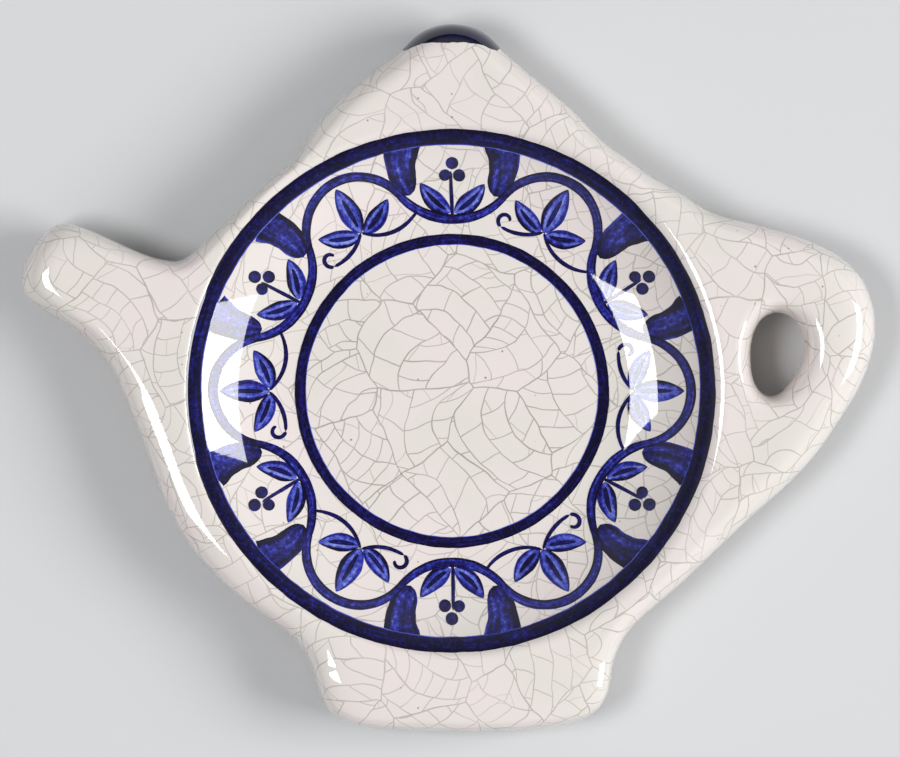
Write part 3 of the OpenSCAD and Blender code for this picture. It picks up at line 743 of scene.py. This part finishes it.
# Clear gloss glaze fired over ivory ware: a still, sharp sheen, a hue that drifts between warm and
# green, and a web of fine stained cracks.
def crackleGlaze(look):
    material, add = newMaterial("crackleGlazeFired")
    glaze = add("Group", give=None, node_tree=glazeTree)
    base = paintColour(look["warmIvory"])
    for factor, shade in ((glaze["Tint"], "greenIvory"), (glaze["Crack"], "crackle"),
                          (add("Math MULTIPLY", glaze["Speck"], 0.75), "speck")):
        base = add("Mix", {0: factor, 6: base, 7: paintColour(look[shade])}, give=2, data_type="RGBA")
    add("OutputMaterial", add("BsdfPrincipled", {"Base Color": base, "Normal": glaze["Normal"],
                                                 "Roughness": look["gloss"], "IOR": look["lightBend"]}))
    return material


cobaltLook = {
    "thin": "#8f98dc",          # colour bleeding out at a stroke's edge
    "wash": "#5f6ccb",
    "middle": "#3037a4",
    "full": "#1b1768",
    "dense": "#0c072a",         # where the colour has pooled
    "crack": "#4a4a80",         # cracks seen over dense colour
    "shades": (("thin", 0.0), ("wash", 0.22), ("middle", 0.48), ("full", 0.72), ("dense", 1.0)),
    "hairsAcross": 2.6,         # how fine the brush's hairs are across a stroke, and along it
    "hairsAlong": 0.16,
    "grainSize": 0.75,          # mm, grain of the settled colour
    "cloudSize": 4.0,           # mm, grain of the slow clouds in it, and their strength
    "cloudiness": 0.5,
    "ragged": 0.3,              # how far the grain frays a stroke's edge
}
# for each paint: how dense it is and how much pools at its edges, then how strong its brush streaks,
# its grain, its pale fringe and the cracks over it are
paintLook = {
    "cobaltBandedLine": (0.94, 0.2, 0.9, 1.3, 0.8, 0.12),
    "cobaltDenseWash": (0.72, 0.4, 1.3, 1.6, 0.4, 0.15),
    "cobaltBrushedStem": (0.68, 0.5, 1.0, 1.4, 0.4, 0.2),
    "cobaltThinWash": (0.32, 0.6, 1.1, 1.2, 0.2, 0.3),
    "cobaltFineStroke": (0.86, 0.2, 0.6, 1.0, 0.3, 0.15),
    "cobaltDippedTip": (1.02, 0.0, 0.5, 0.7, 0.0, 0.12),
}


# Cobalt brushed on under the gloss glaze: streaks along the stroke, pooled dark edges, a pale
# bleed outside them, and the ware's own cracks running over it.
def brushedCobalt(name, look, density, pool, streaks, grain, fringe, cracks):
    material, add = newMaterial(name)
    glaze = add("Group", give=None, node_tree=glazeTree)
    spot = glaze["Millimetres"]
    across, along, tone, wave, reach = (add("Attribute", give="Fac", attribute_name=kept)
                                        for kept in ("across", "along", "tone", "wave", "reach"))
    tone = add("Math FRACT", add("Math MULTIPLY_ADD", wave, 0.377, tone))
    lean = add("Math MULTIPLY_ADD", add("Math GREATER_THAN", tone, 0.5), 2.0, -1.0)
    side = add("Math MULTIPLY", across, lean)
    flow = add("CombineXYZ", add("Math MULTIPLY", across, look["hairsAcross"]),
               add("Math MULTIPLY", along, look["hairsAlong"]), add("Math MULTIPLY", tone, 41.0))
    hairs = add("TexNoise", {"Vector": flow, "Scale": 1.0, "Detail": 3.0})
    grains = add("TexNoise", {"Vector": spot, "Scale": 1 / look["grainSize"], "Detail": 3.0,
                              "Roughness": 0.75})
    clouds = add("TexNoise", {"Vector": spot, "Scale": 1 / look["cloudSize"], "Detail": 2.0})
    rough = add("Math MULTIPLY_ADD", add("Math SUBTRACT", grains, 0.5), look["ragged"],
                add("Math ABSOLUTE", across))
    # the brush leaves most colour along one edge, and bleeds out palely along the other
    heavy = add("Math MULTIPLY", add("MapRange", rough, 0.45, 0.85, **softStep),
                add("Math MULTIPLY_ADD", add("MapRange", side, 0.3, -0.3, **softStep), 0.6, 0.7))
    amount = add("Math MULTIPLY_ADD", heavy, pool, density)
    for pattern, strength in ((hairs, streaks), (grains, grain), (clouds, look["cloudiness"])):
        amount = add("Math MULTIPLY_ADD", add("Math SUBTRACT", pattern, 0.5), strength, amount)
    lifted = add("MapRange", reach, 0.8, 1.0, **softStep)
    amount = add("Math MULTIPLY_ADD", lifted, pool * 0.5, amount)
    edge = add("Math MULTIPLY", add("MapRange", rough, 0.74, 0.98, **softStep),
               add("Math MULTIPLY_ADD", add("MapRange", side, 0.0, 0.6, **softStep), 0.8, 0.2))
    amount = add("Math SUBTRACT", amount, add("Math MULTIPLY", edge, fringe))
    shades = add("ValToRGB", amount)
    stops = shades.node.color_ramp.elements
    while len(stops) < len(look["shades"]):
        stops.new(0.5)
    for stop, (shade, place) in zip(stops, look["shades"]):
        stop.position = place
        stop.color = paintColour(look[shade])
    crazed = add("Math MULTIPLY", glaze["Crack"], cracks)
    base = add("Mix", {0: crazed, 6: shades, 7: paintColour(look["crack"])}, give=2, data_type="RGBA")
    add("OutputMaterial", add("BsdfPrincipled", {
        "Base Color": base, "Normal": glaze["Normal"], "Roughness": glazeLook["gloss"],
        "IOR": glazeLook["lightBend"]}))
    return material


clayLook = {
    "pale": "#d9ccb4",
    "grubby": "#c4b495",
    "patchSize": 8.0,         # mm, grain of the grubby patches
    "dryness": 0.9,           # roughness
    "chalkSize": 0.5,         # mm, grain and depth of the chalky surface
    "chalkDepth": 0.03,
}


# Bare clay wiped free of glaze and rubbed smooth: dry, chalky and a little grubby.
def bareClay(look):
    material, add = newMaterial("bareClayWiped")
    here = add("TexCoord", give="Object")
    spot = add("VectorMath SCALE", here, {"Scale": 1 / mm})
    fine = add("TexNoise", {"Vector": spot, "Scale": 1 / look["chalkSize"], "Detail": 3.0})
    patches = add("TexNoise", {"Vector": spot, "Scale": 1 / look["patchSize"], "Detail": 3.0})
    patches = add("MapRange", patches, 0.3, 0.7, **softStep)
    base = add("Mix", {0: patches, 6: paintColour(look["pale"]), 7: paintColour(look["grubby"])}, give=2,
               data_type="RGBA")
    bump = add("Bump", {"Height": fine, "Distance": look["chalkDepth"] * mm})
    add("OutputMaterial", add("BsdfPrincipled", {"Base Color": base, "Normal": bump,
                                                 "Roughness": look["dryness"]}))
    return material


print("materials")
glazeTree = makeGlazeTree(glazeLook)
glazeMaterial = crackleGlaze(glazeLook)
paints = {name: brushedCobalt(name, cobaltLook, *numbers) for name, numbers in paintLook.items()}
clayMaterial = bareClay(clayLook)
casting.data.materials.append(glazeMaterial)


# The vine's strokes, for one wave whose outward bow lies on +X

vineLook = {
    "waves": 6,
    "crossing": 30.1,        # radius of the circle that the waves cross
    "swing": 64.0,           # degrees off that circle
    "overlap": 4,            # degrees that a bow runs on into the next
    "stemWidth": 1.5,
    "inwardShare": 0.95,     # the inward bow's width as a share of it
    "fineWidth": 0.62,
    "leafLength": 7.4,
    "leafWidth": 3.3,
    "leafPlace": 26.7,       # on the outward bow, three leaves
    "leafTurn": 66.0,
    "leafBend": 0.05,
    "sprayPlace": 26.2,      # on the inward bow, two
    "sprayTurn": 46.0,
    "sprayBend": 0.06,
    "leafGap": 0.4,          # between a leaf's foot and the stem
    "sideLobe": 0.84,
    "berryPlace": 32.6,
    "berryRadius": 0.95,
    "berrySizes": (1.0, 0.92, 0.97),
    "berrySpread": 1.28,     # radii from the cluster's middle
    "branchPlace": 32.4,
    "branchTurn": 9.7,
    "branchRadius": 7.2,
    "branchSweep": 39,       # degrees each side of the branch's middle
    "curlFrom": 166,
    "curlTurn": 250,
    "curlRadius": 1.15,
    "curlShrink": 0.6,
    "hornFrom": 36.9,        # the dark washes: radius that they hang from, and their length
    "hornLength": 7.9,
    "hornApart": 7.4,        # each side of the middle, with how far they bulge out and lean in
    "hornBulge": 0.5,
    "hornLean": 1.2,
    "hornWidth": 2.75,       # half widths, and where the rounded end starts
    "hornTaper": 1.1,
    "hornRound": 0.72,
}


# a plan direction from degrees
def way(degrees):
    turn = np.radians(degrees)
    return np.stack([np.cos(turn), np.sin(turn)], -1)


# a stroke turned round the dish axis
def turned(stroke, degrees):
    points, radii, closed = stroke
    c, s = math.cos(math.radians(degrees)), math.sin(math.radians(degrees))
    return points @ np.array([[c, s], [-s, c]]), radii, closed


# a stroke along some points, pressed harder in its middle and closing in a round at both ends
def pressedStroke(points, width, lightEnds):
    run = runOf(points)
    t = run / run[-1]
    half = width / 2 * (lightEnds + (1 - lightEnds) * np.sin(math.pi * t) ** 0.8)
    cap = np.clip(np.minimum(run, run[-1] - run) / half, 0, 1)
    return points, np.maximum(half * np.sqrt(1 - (1 - cap) ** 2), 0.02), False


# such a stroke along an arc
def arcStroke(middle, radius, start, end, width, lightEnds=0.72):
    count = max(14, int(abs(end - start) / 3))
    return pressedStroke(np.array(middle) + radius * way(np.linspace(start, end, count)), width, lightEnds)


# a leaf as one press of a pointed brush: round where it sets down, drawn to a point
def leafStroke(foot, direction, length, width, bend=0.0):
    t = np.linspace(0, 1, 26)
    along, across = way(direction), way(direction + 90)
    bow = (bend * length * np.sin(math.pi * t))[:, None]
    points = np.array(foot) + length * t[:, None] * along + bow * across
    return points, np.maximum(width / 2 * np.sin(math.pi * t ** 0.85) ** 0.72, 0.03), False


# the strokes of one wave, by what they draw
def vineStrokes(look):
    fine = look["fineWidth"]
    half = 90 / look["waves"]
    spin = 180 / look["waves"]
    outTurn, inTurn = look["swing"] + half, look["swing"] - half
    chord = look["crossing"] * math.sin(math.radians(half))
    middle = look["crossing"] * math.cos(math.radians(half))
    outArc, inArc = (chord / math.sin(math.radians(turn)) for turn in (outTurn, inTurn))
    outRise, inRise = (chord * math.tan(math.radians(turn / 2)) for turn in (outTurn, inTurn))
    outEnd, inEnd = outTurn + look["overlap"], inTurn + look["overlap"]
    stem = [arcStroke([middle + outRise - outArc, 0], outArc, -outEnd, outEnd, look["stemWidth"]),
            turned(arcStroke([middle - inRise + inArc, 0], inArc, 180 - inEnd, 180 + inEnd,
                             look["stemWidth"] * look["inwardShare"]), spin)]

    leaves, veins = [], []
    lobe = look["sideLobe"]
    plans = [(look["leafPlace"], side * look["leafTurn"], lobe if side else 1, side * look["leafBend"], 0)
             for side in (-1, 0, 1)]
    plans += [(look["sprayPlace"], side * look["sprayTurn"], lobe, side * look["sprayBend"], spin)
              for side in (-1, 1)]
    for foot, direction, size, bend, turn in plans:
        start = np.array([foot, 0]) + look["leafGap"] * way(direction)
        leaf = leafStroke(start, direction, look["leafLength"] * size, look["leafWidth"] * size, bend)
        leaves.append(turned(leaf, turn))
        veins.append(turned(pressedStroke(leaf[0][3:20], fine * 1.15, 0.4), turn))

    # a branch each side of the stem, the second with a tendril's curl at its end
    curls = []
    for side, first in ((-1, 180 - look["branchSweep"]), (1, look["curlFrom"])):
        lean = side * look["branchTurn"]
        centre = look["branchPlace"] * way(lean)
        curls.append(arcStroke(centre, look["branchRadius"], first + lean, 180 + look["branchSweep"] + lean,
                               fine, 0.6))
    start = look["curlFrom"] + look["branchTurn"]
    turns = np.linspace(start, start - look["curlTurn"], 40)
    shrink = look["curlRadius"] * np.linspace(1, look["curlShrink"], 40)
    points = centre + (look["branchRadius"] - look["curlRadius"]) * way(start) + shrink[:, None] * way(turns)
    curls.append(pressedStroke(points, fine, 0.7))
    stalk = np.column_stack([np.linspace(middle - inRise, look["berryPlace"], 20), np.linspace(0, 0.2, 20)])
    curls.append(turned(pressedStroke(stalk, fine * 0.9, 0.6), spin))

    berries = []
    t = np.linspace(-1, 1, 15)
    for k, size in enumerate(look["berrySizes"]):
        radius = look["berryRadius"] * size
        centre = np.array([look["berryPlace"], 0]) + look["berrySpread"] * look["berryRadius"] * way(120 * k)
        points = centre + radius * t[:, None] * way(35 * k)
        berries.append(turned((points, np.maximum(radius * np.sqrt(1 - t ** 2), 0.02), False), spin))

    # two horns of dark wash that hang from the outer line into each outward hollow
    horns = []
    t = np.linspace(0, 1, 30)
    apart = look["hornApart"] + look["hornBulge"] * np.sin(math.pi * t) - look["hornLean"] * t ** 2
    ends = np.clip((t - look["hornRound"]) / (1 - look["hornRound"]), 0, 1)
    radii = np.maximum((look["hornWidth"] - look["hornTaper"] * t) * np.sqrt(1 - ends ** 2), 0.05)
    for side in (-1, 1):
        points = np.column_stack([look["hornFrom"] - look["hornLength"] * t, side * apart])
        horns.append(turned((points, radii, False), spin))
    return stem, leaves, veins, curls, berries, horns


# a banded line: a closed stroke whose width drifts as the wheel turns, a little off round and centre
def ringStroke(radius, width, stretch=0.0, shift=0.0):
    turns = np.linspace(0, 360, 240, endpoint=False)
    return [(radius * way(turns) * [1 + stretch, 1 - stretch] + [shift, 0], np.full(240, width / 2), True)]


lineLook = {
    "outerRadius": 37.95,
    "outerWidth": 2.3,
    "outerStretch": 0.006,     # share by which it is wider than high
    "outerShift": -0.2,        # mm towards the handle
    "innerRadius": 22.55,
    "innerWidth": 1.65,
}

print("painting")
brushTree = makeBrushTree(brushLook)
stem, leaves, veins, curls, berries, horns = vineStrokes(vineLook)
waves = vineLook["waves"]
outer = ringStroke(*(lineLook["outer" + of] for of in ("Radius", "Width", "Stretch", "Shift")))
inner = ringStroke(lineLook["innerRadius"], lineLook["innerWidth"])
dark, blue, pale = "dark_cobalt", "blue_stroke", "pale_wash"
# piece, CAD node, strokes, paint, slot, height over the glaze in mm, repeats, wobbles, step and seed
paintPlan = [
    ("cornerWash", "corner_wash", horns, "cobaltDenseWash", dark, 0.026, waves, 0.16, 0.3, 0.3, 3),
    ("vineLeaves", "vine_leaves", leaves, "cobaltThinWash", pale, 0.032, waves, 0.12, 0.3, 0.25, 3),
    ("vineStem", "vine_stem", stem, "cobaltBrushedStem", blue, 0.038, waves, 0.16, 0.3, 0.3, 3),
    ("vineCurls", "vine_curls", curls, "cobaltFineStroke", blue, 0.044, waves, 0.2, 0.3, 0.2, 3),
    ("leafVeins", "leaf_veins", veins, "cobaltFineStroke", blue, 0.05, waves, 0.25, 0.3, 0.2, 3),
    ("vineBerries", "vine_berries", berries, "cobaltFineStroke", blue, 0.056, waves, 0.1, 0.3, 0.1, 3),
    ("outerLine", "outer_line", outer, "cobaltBandedLine", dark, 0.062, 1, 0.12, 0.18, 0.35, 8),
    ("innerLine", "inner_line", inner, "cobaltBandedLine", dark, 0.062, 1, 0.14, 0.15, 0.35, 9),
]
for name, node, strokes, paint, slot, lift, repeats, pressure, path, step, seed in paintPlan:
    piece = sweepStrokes(name, strokes, {"Repeats": repeats, "Pressure wobble": pressure, "Seed": seed,
                                         "Path wobble": path * mm, "Step": step * mm, "Paint": paints[paint]})
    layOnGlaze(piece, lift, brushLook)
    handOver(piece, node)


# Knob: its dark tip, a skin of colour over the rounded end

knobLook = {
    "halfWidth": 7.5,        # mm each side of the lid's middle
    "lowest": 50.2,          # the colour stays above this line
    "middleReach": 3.0,      # how far it reaches in over the top
    "endReach": 0.5,
    "wander": 0.35,          # unevenness of its edge, drawn from the seed
    "seed": 5,
    "lift": 0.03,
    "sunk": 0.08,
    "lowRows": 6,
    "topRows": 12,
    "tone": 0.7,
}


# the tip's two skins, its upper one over the glaze and its lower one in it, closed by a rim
def makeKnobTip(look):
    outward = loopNormals(outline)
    picked = np.flatnonzero((np.abs(outline[:, 0]) < look["halfWidth"]) & (outline[:, 1] > look["lowest"]))
    gap = np.flatnonzero(np.diff(picked) > 1)
    if len(gap):
        picked = np.roll(picked, -(gap[0] + 1))
    line, out = outline[picked], outward[picked]
    low, top = look["lowRows"], look["topRows"]
    rng = np.random.default_rng(look["seed"])
    wander = np.convolve(rng.normal(0, look["wander"], len(line) + 8), np.ones(9) / 9, "valid")
    share = 1 - (line[:, 0] / look["halfWidth"]) ** 2
    inward = look["endReach"] + (look["middleReach"] - look["endReach"]) * share + wander
    rows = [topField.underRow(line, out, math.pi / 2 * (1 - k / low)) for k in range(low)]
    rows += [topField.edgeRow(line, out, inward * (k / top) ** 1.6) for k in range(top + 1)]
    points, normals = (np.array([row[k] for row in rows]) for k in (0, 1))
    depth, width = points.shape[:2]
    shell = depth * width
    points, normals = points.reshape(-1, 3), normals.reshape(-1, 3)
    grid = np.arange(shell).reshape(depth, width)
    faces = []
    for k in range(depth - 1):
        for i in range(width - 1):
            a, b, c, d = grid[k, i], grid[k, i + 1], grid[k + 1, i + 1], grid[k + 1, i]
            faces += [(a, b, c, d), (d + shell, c + shell, b + shell, a + shell)]
    rim = list(grid[0]) + list(grid[1:, -1]) + list(grid[-1, -2::-1]) + list(grid[-2:0:-1, 0])
    faces += [(b, a, a + shell, b + shell) for a, b in zip(rim, rim[1:] + rim[:1])]
    skins = np.vstack([points + normals * look["lift"], points - normals * look["sunk"]])
    item = meshItem("knobTip", skins * mm, faces)
    mesh = item.data
    shadeLayer(mesh, np.arange(2 * shell) < shell, normals)
    brushwork = {"across": np.repeat(np.linspace(0, 1, depth), width), "along": np.tile(runOf(line), depth),
                 "tone": np.full(shell, look["tone"]), "reach": np.zeros(shell), "wave": np.zeros(shell)}
    for name, values in brushwork.items():
        held = mesh.attributes.new(name, "FLOAT", "POINT")
        held.data.foreach_set("value", np.tile(values, 2).astype(np.float32))
    storeGlazeSpots(mesh, np.tile(points, (2, 1)), np.tile(normals, (2, 1)))
    mesh.materials.append(paints["cobaltDippedTip"])
    return item


handOver(makeKnobTip(knobLook), "knob_tip")
handOver(casting, "body")


# Foot ring: the turned ring of bare clay that the piece stands on

footLook = {"radius": 31.0, "width": 3.2, "height": 2.3, "softEdge": 0.45}


# the ring as a rounded section turned round the axis
def makeFootTree():
    tree = bpy.data.node_groups.new("turnedRing", "GeometryNodeTree")
    nameSockets(tree, {"Radius": ["Float"], "Width": ["Float"], "Height": ["Float"], "Soft edge": ["Float"],
                       "Clay": ["Material"]}, {"Geometry": ["Geometry"]})
    add = partial(addNode, tree)
    given = add("NodeGroupInput", give=None)
    middle = add("Math SUBTRACT", given["Radius"], add("Math DIVIDE", given["Width"], 2.0))
    path = add("GeometryNodeCurvePrimitiveCircle", {"Resolution": 240, "Radius": middle})
    section = add("GeometryNodeCurvePrimitiveQuadrilateral",
                  {"Width": given["Width"], "Height": given["Height"]})
    section = add("GeometryNodeFilletCurve", {"Curve": section, "Count": 5, "Radius": given["Soft edge"]},
                  mode="POLY")
    ring = add("GeometryNodeCurveToMesh", {"Curve": path, "Profile Curve": section})
    rise = add("CombineXYZ", {2: add("Math DIVIDE", given["Height"], 2.0)})
    ring = add("GeometryNodeTransform", {"Geometry": ring, "Translation": rise})
    ring = add("GeometryNodeRealizeInstances", ring)
    ring = add("GeometryNodeSetMaterial", {"Geometry": ring, "Material": given["Clay"]})
    add("NodeGroupOutput", ring)
    return tree


footRing = grownItem("footRing", makeFootTree(), {
    "Radius": footLook["radius"] * mm, "Width": footLook["width"] * mm, "Height": footLook["height"] * mm,
    "Soft edge": footLook["softEdge"] * mm, "Clay": clayMaterial})
footRing.data.polygons.foreach_set("use_smooth", [True] * len(footRing.data.polygons))
handOver(footRing, "foot_ring")


# Studio: pale floor, two soft boxes and the camera straight above

studioLook = {
    "floor": "#d3d4d5",
    "floorSize": 3.0,         # m each side of the middle
    "floorDullness": 0.85,
    "sky": "#eef1f6",
    "sideSky": 0.5,           # strength of the room's light from the sides, and straight above
    "highSky": 0.1,
    "lowSky": 0.15,           # share of it that is left near the floor
    "cameraHeight": 2.6,
    "frameWidth": 133.5,      # mm across the picture at the dish's level
    "frameMiddle": (-0.3, 1.85),
    # the boxes: degrees off the vertical in X and in Y, degrees across and along, and watts
    "rightBox": (56.5, -3.0, 33.0, 27.0, 15.5),
    "leftBox": (-27.5, -5.0, 21.0, 18.0, 7.9),
    "boxDistance": 1.35,
}


# a lamp at so many degrees off the vertical, as wide and deep as it looks from the dish
def softBox(name, distance, turn, tilt, wide, deep, watts):
    lamp = bpy.data.lights.new(name, "AREA")
    lamp.shape = "RECTANGLE"
    lamp.size = 2 * distance * math.tan(math.radians(wide / 2))
    lamp.size_y = 2 * distance * math.tan(math.radians(deep / 2))
    lamp.energy = watts
    item = newItem(name, lamp)
    turn, tilt = math.radians(turn), math.radians(tilt)
    item.location = (distance * math.sin(turn), distance * math.sin(tilt), distance * math.cos(turn))
    item.rotation_mode = "QUATERNION"
    item.rotation_quaternion = (-item.location).to_track_quat("-Z", "Y")


far = studioLook["floorSize"]
floor = meshItem("floor", [(-far, -far, 0), (far, -far, 0), (far, far, 0), (-far, far, 0)], [(0, 1, 2, 3)])
floorMaterial, addFloor = newMaterial("paleFloor")
addFloor("OutputMaterial", addFloor("BsdfPrincipled", {"Base Color": paintColour(studioLook["floor"]),
                                                       "Roughness": studioLook["floorDullness"]}))
floor.data.materials.append(floorMaterial)

for name in ("rightBox", "leftBox"):
    softBox(name, studioLook["boxDistance"], *studioLook[name])
world = bpy.data.worlds.new("softRoom")
bpy.context.scene.world = world
world.use_nodes = True
background = world.node_tree.nodes["Background"]
background.inputs["Color"].default_value = paintColour(studioLook["sky"])
# the room is darker straight above, where the camera stands, and near the floor, so that the gloss
# stays clear of haze
addSky = partial(addNode, world.node_tree)
rise = addSky("SeparateXYZ", addSky("TexCoord", give="Generated"), give="Z")
overhead = addSky("MapRange", rise, 0.6, 0.95, **softStep)
strength = addSky("Math MULTIPLY_ADD", overhead, studioLook["highSky"] - studioLook["sideSky"],
                  studioLook["sideSky"])
wall = addSky("MapRange", rise, 0.08, 0.6, **softStep)
wall = addSky("Math MULTIPLY_ADD", wall, 1 - studioLook["lowSky"], studioLook["lowSky"])
world.node_tree.links.new(addSky("Math MULTIPLY", strength, wall), background.inputs["Strength"])

sensor = 36.0
cameraData = bpy.data.cameras.new("camera")
camera = newItem("camera", cameraData)
bpy.context.scene.camera = camera
height = studioLook["cameraHeight"]
middleX, middleY = studioLook["frameMiddle"]
camera.location = (middleX * mm, middleY * mm, height + castingLook["crestHeight"] * mm)
cameraData.sensor_width = sensor
cameraData.lens = sensor * height / (studioLook["frameWidth"] * mm)
cameraData.clip_start = 0.1
cameraData.clip_end = 20.0
bpy.context.scene.view_settings.view_transform = "Standard"
